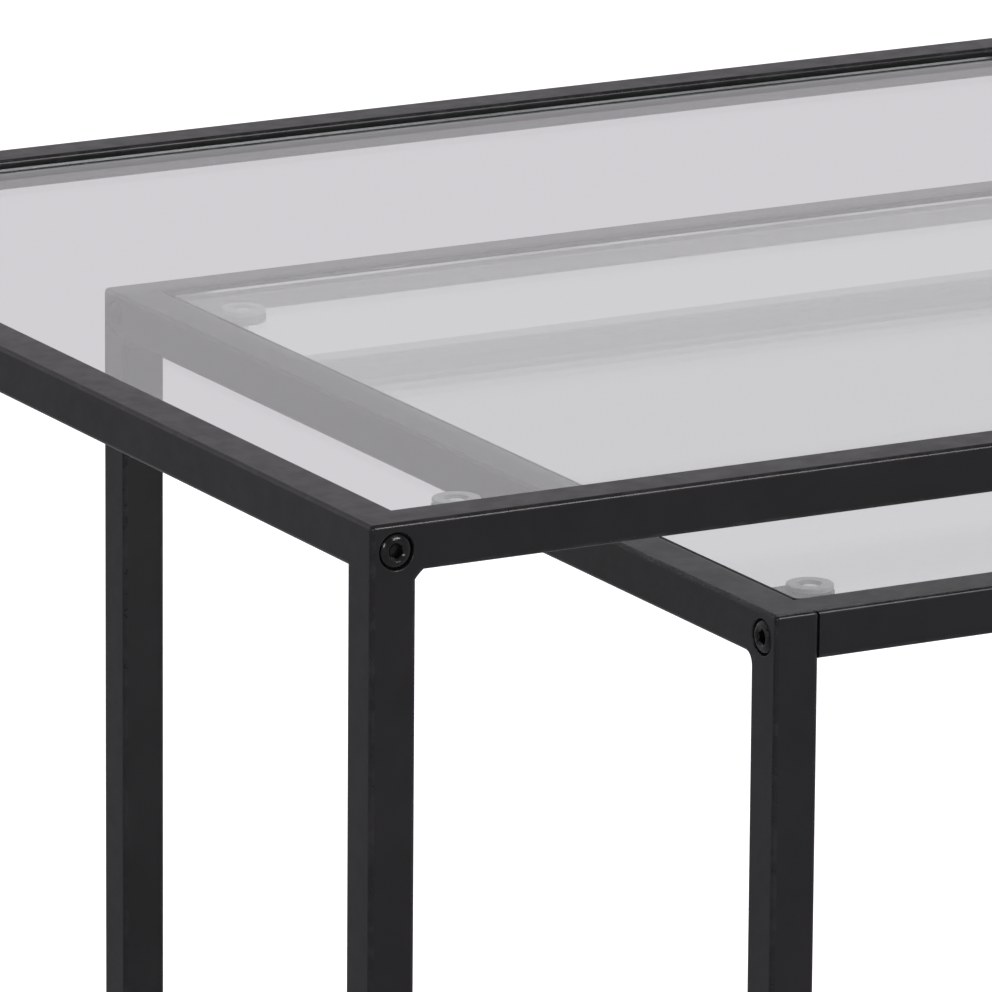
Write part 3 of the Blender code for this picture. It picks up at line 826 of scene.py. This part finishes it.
class TABLES_OT_rails(bpy.types.Operator):
    """Makes the four bolted rails"""
    bl_idname = "tables.rails"
    bl_label = "Bolted rails"

    def execute(self, context):
        coat = finish("black_powder_coat", powder_coat, context.scene.tables_tube)
        for table, sides in RAIL_SIDES.items():
            for side in sides:
                node = table + "_" + side + "_rail"
                size = extent(node)
                along = 90 if size.x > size.y else 0
                flush = {"left": -1, "right": 1}.get(side, 0)
                mesh = rail_mesh(node, rail_length(table, side), tube_side(), flush)
                where = Matrix.Translation(middle(node)) @ Matrix.Rotation(math.radians(along), 4, "Z")
                place_piece(node + "_coated", mesh, where, [coat], node)
        return {"FINISHED"}


# ---------------------------------------------------------------- bolts and plugs

def hexagon(flats):
    """Distance from the middle to a hexagon's side, as a function of the angle."""
    def reach(angle):
        return flats / 2 / math.cos((angle + math.pi / 6) % (math.pi / 3) - math.pi / 6)
    return reach


def thread_row(depth, pitch, crest, root):
    """A ring of a right-hand thread at one depth."""
    def radius(angle):
        phase = (depth / pitch - angle / math.tau) % 1.0
        return root + (crest - root) * abs(2 * phase - 1)
    return circle_ring(radius, depth)


def bolt_mesh(radius, length):
    """Bolt along Z with its head at the top.  The top of the head is at Z = 0."""
    settings = bpy.context.scene.tables_fittings
    head, shank = HEAD_HEIGHT, SHANK_RADIUS
    rim = 0.5 * MM
    mouth = settings.socket_mouth / 2
    reach = hexagon(settings.socket_flats)
    rings = [circle_ring(shank * 0.2, -length), circle_ring(shank * 0.72, -length)]
    rows = int(round((length - head - 3.5 * MM) / settings.thread_pitch * 4))
    for i in range(rows + 1):
        depth = -length + 0.6 * MM + i * settings.thread_pitch / 4
        rings.append(thread_row(depth, settings.thread_pitch, shank, shank * 0.87))
    rings += [circle_ring(shank, -head - 1.6 * MM), circle_ring(shank, -head - 0.25 * MM),
              circle_ring(shank + 0.2 * MM, -head)]
    rings += [circle_ring(radius - 0.15 * MM, -head), circle_ring(radius, -head + 0.15 * MM),
              circle_ring(radius, -head + rim)]
    for angle in (15, 30, 45, 60):
        turn = math.radians(angle)
        rings.append(circle_ring(radius - 0.45 * MM * (1 - math.cos(turn)),
                                 -head + rim + 0.7 * MM * math.sin(turn)))
    shoulder = rings[-1][0]
    for share in (0.25, 0.5, 0.75, 0.92):
        size = shoulder.x + (mouth + 0.1 * MM - shoulder.x) * share
        rings.append(circle_ring(size, shoulder.z * (1 - math.sin(share * math.pi / 2))))
    rings += [circle_ring(mouth + 0.12 * MM, 0.0), circle_ring(mouth, -0.04 * MM)]
    chamfer = []
    for point in circle_ring(reach, 0.0):
        fall = (mouth - point.xy.length) * 0.9
        chamfer.append(Vector((point.x, point.y, -0.04 * MM - fall)))
    floor = -settings.socket_depth
    rings += [chamfer, circle_ring(reach, floor), circle_ring(settings.socket_flats * 0.2, floor - 0.15 * MM),
              circle_ring(0.05 * MM, floor - 0.2 * MM)]
    bm = bmesh.new()
    loft(bm, rings)
    return mesh_of(bm, "bolt", 32)


class TABLES_OT_bolts(bpy.types.Operator):
    """Makes the eight blackened bolts"""
    bl_idname = "tables.bolts"
    bl_label = "Bolts"

    def execute(self, context):
        black = finish("blackened_steel", blackened_steel, context.scene.tables_fittings)
        size = extent("outer_bolt_front_left")
        mesh = bolt_mesh(size.x / 2, size.y)
        for table in FRAME_SIDES:
            for number, corner in enumerate(CORNERS):
                side = frame_side_of(table, corner)
                node = table + "_bolt_" + corner
                head = middle(node) + outward(side) * size.y / 2
                stand = Matrix.Rotation(math.radians(90), 4, "X")
                spin = Matrix.Rotation(math.radians(10 + 23 * number), 4, "Z")
                where = Matrix.Translation(head) @ turned(side) @ stand @ spin
                place_piece(node + "_blackened", mesh.copy(), where, [black], node)
        return {"FINISHED"}


class TABLES_OT_plugs(bpy.types.Operator):
    """Plates the threaded plugs in the rails' ends"""
    bl_idname = "tables.plugs"
    bl_label = "Threaded plugs"

    def execute(self, context):
        zinc = finish("zinc_plate", zinc_plate, context.scene.tables_fittings)
        for table in FRAME_SIDES:
            for corner in CORNERS:
                plug = frame["nodes"][table + "_plug_" + corner]
                for place in plug.material_slots:
                    place.material = zinc
        return {"FINISHED"}


# ---------------------------------------------------------------- tabs and pads

def tab_mesh(size, tube_gap, hole_radius, weld):
    """Round-ended plate.  The hole is at the origin, the root towards -Y and the top at Z = 0."""
    width, reach, thickness = size
    half = width / 2
    root = -(reach - half)
    count = ROUND_POINTS
    broken = 0.3 * MM

    def outline(inset):
        radius = half - inset
        points = arc_points((0.0, 0.0), radius, 0, 180, count // 2)
        steps = count - len(points)
        side_count = steps // 4
        left = [(-radius, root * (i + 1) / (side_count + 1)) for i in range(side_count)]
        bottom_count = steps - 2 * side_count
        bottom = [(-radius + 2 * radius * i / (bottom_count - 1), root) for i in range(bottom_count)]
        right = [(radius, y) for _, y in reversed(left)]
        return points + left + bottom + right

    def hole(outer):
        points = []
        for x, y in outer:
            span = math.hypot(x, y)
            points.append((x / span * hole_radius, y / span * hole_radius))
        return points

    bm = bmesh.new()
    full, slim = outline(0.0), outline(broken)
    eye = hole(full)
    loft(bm, [ring_at(slim, -thickness), ring_at(full, broken - thickness), ring_at(full, -broken),
              ring_at(slim, 0.0), ring_at(eye, 0.0), ring_at(eye, -thickness)], closed=True)
    for facing in (1, -1):
        base = 0.0 if facing > 0 else -thickness
        rows = []
        steps = 60
        for i in range(steps + 1):
            along = (i / steps - 0.5) * (width - 1.2 * MM)
            fade = min(1.0, (0.5 - abs(i / steps - 0.5)) * 12 + 0.35)
            swell = weld * fade * (1 + 0.10 * math.sin(along / MM * 2 * math.pi / 1.1))
            ring = []
            for angle in (0, 22.5, 45, 67.5, 90):
                turn = math.radians(angle)
                out = swell * (math.cos(turn) * 0.85 + 0.15)
                up = swell * (math.sin(turn) * 0.85 + 0.15)
                bulge = 0.86 if 0 < angle < 90 else 1.0
                ring.append(Vector((along, root - tube_gap * 0.5 + (out if angle < 90 else 0.0) * bulge,
                                    base + facing * (up if angle > 0 else -0.05 * MM) * bulge)))
            ring.append(Vector((along, root - tube_gap * 0.5, base - facing * 0.05 * MM)))
            rows.append(ring)
        loft(bm, rows)
    mesh = mesh_of(bm, "support_tab", 40)
    mark_edges(mesh)
    return mesh


def pad_mesh(radius, thickness, stem_radius, depth):
    """Soft disc with a dished top and a tapered stem.  Its top is at Z = 0."""
    dish = bpy.context.scene.tables_fittings.pad_dish / 2
    edge = 0.38 * MM
    floor = 0.95 * MM
    rings = [circle_ring(0.3 * MM, -depth), circle_ring(stem_radius - 0.9 * MM, -depth),
             circle_ring(stem_radius - 0.6 * MM, -depth + 0.25 * MM),
             circle_ring(stem_radius - 0.1 * MM, -thickness - 0.4 * MM),
             circle_ring(stem_radius + 0.1 * MM, -thickness)]
    for angle in (-90, -60, -30, 0):
        turn = math.radians(angle)
        rings.append(circle_ring(radius - edge + edge * math.cos(turn),
                                 -thickness + edge + edge * math.sin(turn)))
    for angle in (0, 30, 60, 90):
        turn = math.radians(angle)
        rings.append(circle_ring(radius - edge + edge * math.cos(turn), -edge + edge * math.sin(turn)))
    rings += [circle_ring(dish + 0.25 * MM, 0.0), circle_ring(dish, -0.10 * MM),
              circle_ring(dish - 0.35 * MM, -0.40 * MM), circle_ring(dish - 1.2 * MM, -floor + 0.12 * MM),
              circle_ring(dish - 1.55 * MM, -floor), circle_ring(0.75 * MM, -floor),
              circle_ring(0.55 * MM, -floor + 0.16 * MM), circle_ring(0.1 * MM, -floor + 0.2 * MM)]
    bm = bmesh.new()
    loft(bm, rings)
    return mesh_of(bm, "glass_pad", 60)


class TABLES_OT_tabs(bpy.types.Operator):
    """Makes the eight support tabs with their weld beads"""
    bl_idname = "tables.tabs"
    bl_label = "Support tabs"

    def execute(self, context):
        coat = finish("black_powder_coat", powder_coat, context.scene.tables_tube)
        weld = context.scene.tables_fittings.tab_weld
        for table in FRAME_SIDES:
            for corner in CORNERS:
                node = table + "_tab_" + corner
                side = frame_side_of(table, corner)
                low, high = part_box(node)
                size = high - low
                along_x = abs(outward(side).x) > 0.5
                width, reach = (size.y, size.x) if along_x else (size.x, size.y)
                mesh = tab_mesh((width, reach, size.z), FRAME_GAP, STEM_HOLE_RADIUS, weld)
                pad = middle(table + "_pad_" + corner)
                where = Matrix.Translation((pad.x, pad.y, high.z)) @ turned(side)
                place_piece(node + "_coated", mesh, where, [coat], node)
        return {"FINISHED"}


class TABLES_OT_pads(bpy.types.Operator):
    """Makes the eight clear pads that the glass lies on"""
    bl_idname = "tables.pads"
    bl_label = "Pads"

    def execute(self, context):
        clear = finish("clear_silicone", clear_silicone, context.scene.tables_fittings)
        size = extent("outer_pad_front_left")
        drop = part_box("outer_pad_front_left")[1].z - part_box("outer_tab_front_left")[1].z
        mesh = pad_mesh(size.x / 2, drop - FRAME_GAP, STEM_RADIUS, size.z)
        for table in FRAME_SIDES:
            for corner in CORNERS:
                node = table + "_pad_" + corner
                low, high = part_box(node)
                where = Matrix.Translation((*middle(node).xy, high.z))
                place_piece(node + "_clear", mesh.copy(), where, [clear], node)
        return {"FINISHED"}


# ---------------------------------------------------------------- glass and feet

def pane_mesh(name, size):
    """Glass pane with round corners and ground edges.  Its middle is at the origin."""
    settings = bpy.context.scene.tables_glass
    arris, corner = settings.arris, settings.corner
    half = size.z / 2
    full = rounded_rectangle(size.x, size.y, corner, 10)
    slim = rounded_rectangle(size.x - 2 * arris, size.y - 2 * arris, corner - arris, 10)
    bm = bmesh.new()
    loft(bm, [ring_at(slim, -half), ring_at(full, arris - half), ring_at(full, half - arris),
              ring_at(slim, half)])
    mesh = mesh_of(bm, name, 30)
    for face in mesh.polygons:
        face.material_index = 0 if abs(face.normal.z) > 0.99 else 1
    return mesh


class TABLES_OT_panes(bpy.types.Operator):
    """Makes the two glass panes"""
    bl_idname = "tables.panes"
    bl_label = "Glass panes"

    def execute(self, context):
        settings = context.scene.tables_glass
        face = finish("clear_glass", clear_glass, "clear_glass", settings, 1.0, settings.face_relief)
        edge = finish("polished_glass_edge", clear_glass, "polished_glass_edge", settings, 60.0,
                      settings.edge_relief)
        for table in FRAME_SIDES:
            node = table + "_glass"
            mesh = pane_mesh(node, extent(node))
            where = Matrix.Translation(middle(node))
            place_piece(node + "_polished", mesh, where, [face, edge], node)
        return {"FINISHED"}


def foot_mesh(side, flange, height, stem):
    """Moulded foot: a flange as wide as the tube and a ribbed stem.  It stands on Z = 0."""
    rings = []

    def square(width, radius, level):
        rings.append(ring_at(rounded_rectangle(width, width, radius, 4), level))

    square(side - 2.4 * MM, 1.0 * MM, 0.25 * MM)
    square(side - 1.8 * MM, 1.2 * MM, 0.0)
    for angle in (0, 30, 60, 90):
        turn = math.radians(angle)
        inset = 0.6 * MM * (1 - math.sin(turn))
        square(side - 2 * inset, 1.6 * MM - inset, 0.6 * MM * (1 - math.cos(turn)))
    square(side, 1.6 * MM, flange - 0.2 * MM)
    square(side - 0.4 * MM, 1.4 * MM, flange)
    square(stem - 0.6 * MM, 0.5 * MM, flange)
    level = flange + 1.0 * MM
    while level < height - 2.5 * MM:
        square(stem - 0.6 * MM, 0.5 * MM, level)
        square(stem, 0.5 * MM, level + 0.25 * MM)
        square(stem - 0.5 * MM, 0.5 * MM, level + 1.2 * MM)
        level += 1.8 * MM
    square(stem - 0.6 * MM, 0.5 * MM, height - 1.0 * MM)
    square(stem - 2.4 * MM, 0.5 * MM, height)
    bm = bmesh.new()
    loft(bm, rings)
    return mesh_of(bm, "foot_glide", 35)


class TABLES_OT_feet(bpy.types.Operator):
    """Makes the eight moulded feet"""
    bl_idname = "tables.feet"
    bl_label = "Feet"

    def execute(self, context):
        plastic = finish("moulded_plastic", moulded_plastic, context.scene.tables_fittings)
        wall = context.scene.tables_tube.wall
        for table in FRAME_SIDES:
            for corner in CORNERS:
                node = table + "_foot_" + corner
                size = extent(node)
                mesh = foot_mesh(size.x, FOOT_FLANGE, size.z, size.x - 2 * (wall + FOOT_CLEARANCE))
                where = Matrix.Translation((*middle(node).xy, 0.0))
                place_piece(node + "_moulded", mesh, where, [plastic], node)
        return {"FINISHED"}


# ---------------------------------------------------------------- stage

def floor_finish(stage):
    """Pale matt floor, which stays pale where it is looked at and even where glass or steel shows it."""
    made, tree = new_material("pale_floor")
    where = add(tree, "ShaderNodeTexCoord").outputs["Object"]
    tone = ramp(tree, noise(tree, where, 3.0, 4.0, 0.6), 0.3, 0.7)
    base = mix_colours(tree, tone, rgba(stage.floor_colour, 0.985), rgba(stage.floor_colour, 1.015))
    matt = add(tree, "ShaderNodeBsdfDiffuse", {"Color": base})
    ray = add(tree, "ShaderNodeLightPath").outputs
    direct = maths(tree, "MULTIPLY", ray["Is Camera Ray"], stage.glow)
    glow = add(tree, "ShaderNodeEmission", {"Strength": direct})
    shown = add(tree, "ShaderNodeAddShader", {0: matt.outputs[0], 1: glow.outputs[0]})
    for kind, colour in (("Is Glossy Ray", stage.floor_mirrored),
                         ("Is Transmission Ray", stage.floor_through)):
        even = add(tree, "ShaderNodeEmission", {"Color": rgba(colour)})
        shown = add(tree, "ShaderNodeMixShader", {0: ray[kind], 1: shown.outputs[0], 2: even.outputs[0]})
    output(tree, shown.outputs[0])
    return made


def studio_world(stage):
    """Even studio walls that darken towards the ceiling.  Looked at directly, the surround is white."""
    world = bpy.data.worlds.new("studio")
    world.use_nodes = True
    tree = world.node_tree
    tree.nodes.clear()
    way = add(tree, "ShaderNodeSeparateXYZ", {0: add(tree, "ShaderNodeTexCoord").outputs["Generated"]})
    high = ramp(tree, way.outputs["Z"], 0.35, 0.65)
    near = ramp(tree, way.outputs["Y"], 0.1, -0.5)
    shade = mix_colours(tree, near, rgba(stage.backdrop), rgba(stage.front))
    shade = mix_colours(tree, high, shade, rgba(stage.ceiling))
    direct = add(tree, "ShaderNodeLightPath").outputs["Is Camera Ray"]
    shade = mix_colours(tree, direct, shade, (1.0, 1.0, 1.0, 1.0))
    light = add(tree, "ShaderNodeBackground", {"Color": shade})
    add(tree, "ShaderNodeOutputWorld", {"Surface": light.outputs[0]})
    return world


def softbox(name, place, target, size, power):
    lamp = bpy.data.lights.new(name, "AREA")
    lamp.shape = "RECTANGLE"
    lamp.size, lamp.size_y = size
    lamp.energy = power
    made = bpy.data.objects.new(name, lamp)
    bpy.context.scene.collection.objects.link(made)
    made.location = place
    made.rotation_euler = (Vector(target) - Vector(place)).to_track_quat("-Z", "Y").to_euler()
    return made


def camera_matrix(stage):
    yaw, pitch = stage.camera_yaw, stage.camera_pitch
    forward = Vector((math.sin(yaw) * math.cos(pitch), math.cos(yaw) * math.cos(pitch), -math.sin(pitch)))
    right = Vector((math.cos(yaw), -math.sin(yaw), 0.0))
    up = right.cross(forward)
    turn = Matrix((right, up, -forward)).transposed().to_4x4()
    return Matrix.Translation(stage.camera_place) @ turn @ Matrix.Rotation(stage.camera_roll, 4, "Z")


class TABLES_OT_stage(bpy.types.Operator):
    """Lays the floor, hangs the soft lights and stands the camera"""
    bl_idname = "tables.stage"
    bl_label = "Stage"

    def execute(self, context):
        stage = context.scene.tables_stage
        bm = bmesh.new()
        bmesh.ops.create_grid(bm, x_segments=8, y_segments=8, size=40.0)
        floor = bpy.data.objects.new("floor", mesh_of(bm, "floor"))
        floor.data.materials.append(floor_finish(stage))
        context.scene.collection.objects.link(floor)
        context.scene.world = studio_world(stage)
        target = (0.0, 0.0, 0.4)
        softbox("key_light", (1.03, -2.72, 2.22), target, (1.5, 0.5), stage.key_power)
        softbox("fill_light", (-2.2, -2.6, 1.55), target, (0.5, 0.8), stage.fill_power)
        top = softbox("top_light", (0.2, 0.6, 2.8), target, (2.2, 2.2), stage.top_power)
        top.visible_glossy = False
        lens = bpy.data.cameras.new("camera")
        lens.lens = stage.camera_lens
        lens.sensor_width = 36.0
        lens.clip_start, lens.clip_end = 0.05, 200.0
        camera = bpy.data.objects.new("camera", lens)
        context.scene.collection.objects.link(camera)
        camera.matrix_world = camera_matrix(stage)
        context.scene.camera = camera
        context.scene.view_settings.view_transform = "Standard"
        return {"FINISHED"}


# ---------------------------------------------------------------- panel and registration

class TABLES_PT_panel(bpy.types.Panel):
    """Sidebar panel with the settings and one button for each group of pieces"""
    bl_label = "Nesting tables"
    bl_idname = "TABLES_PT_panel"
    bl_space_type = "VIEW_3D"
    bl_region_type = "UI"
    bl_category = "Tables"

    def draw(self, context):
        for group in SETTINGS:
            settings = getattr(context.scene, group)
            box = self.layout.box()
            for key in settings.__annotations__:
                box.prop(settings, key)
        for operator in OPERATORS:
            self.layout.operator(operator.bl_idname)


SETTINGS = {"tables_tube": TubeSettings, "tables_fittings": FittingSettings,
            "tables_glass": GlassSettings, "tables_stage": StageSettings}
OPERATORS = (TABLES_OT_leg_frames, TABLES_OT_rails, TABLES_OT_bolts, TABLES_OT_plugs, TABLES_OT_tabs,
             TABLES_OT_pads, TABLES_OT_panes, TABLES_OT_feet, TABLES_OT_stage)
CLASSES = (*SETTINGS.values(), *OPERATORS, TABLES_PT_panel)


def register():
    for item in CLASSES:
        bpy.utils.register_class(item)
    for name, group in SETTINGS.items():
        setattr(bpy.types.Scene, name, PointerProperty(type=group))


def unregister():
    for name in SETTINGS:
        delattr(bpy.types.Scene, name)
    for item in reversed(CLASSES):
        bpy.utils.unregister_class(item)


def main():
    register()
    bpy.ops.tables.leg_frames()
    bpy.ops.tables.rails()
    bpy.ops.tables.bolts()
    bpy.ops.tables.plugs()
    bpy.ops.tables.tabs()
    bpy.ops.tables.pads()
    bpy.ops.tables.panes()
    bpy.ops.tables.feet()
    bpy.ops.tables.stage()


if __name__ == "__main__":
    main()
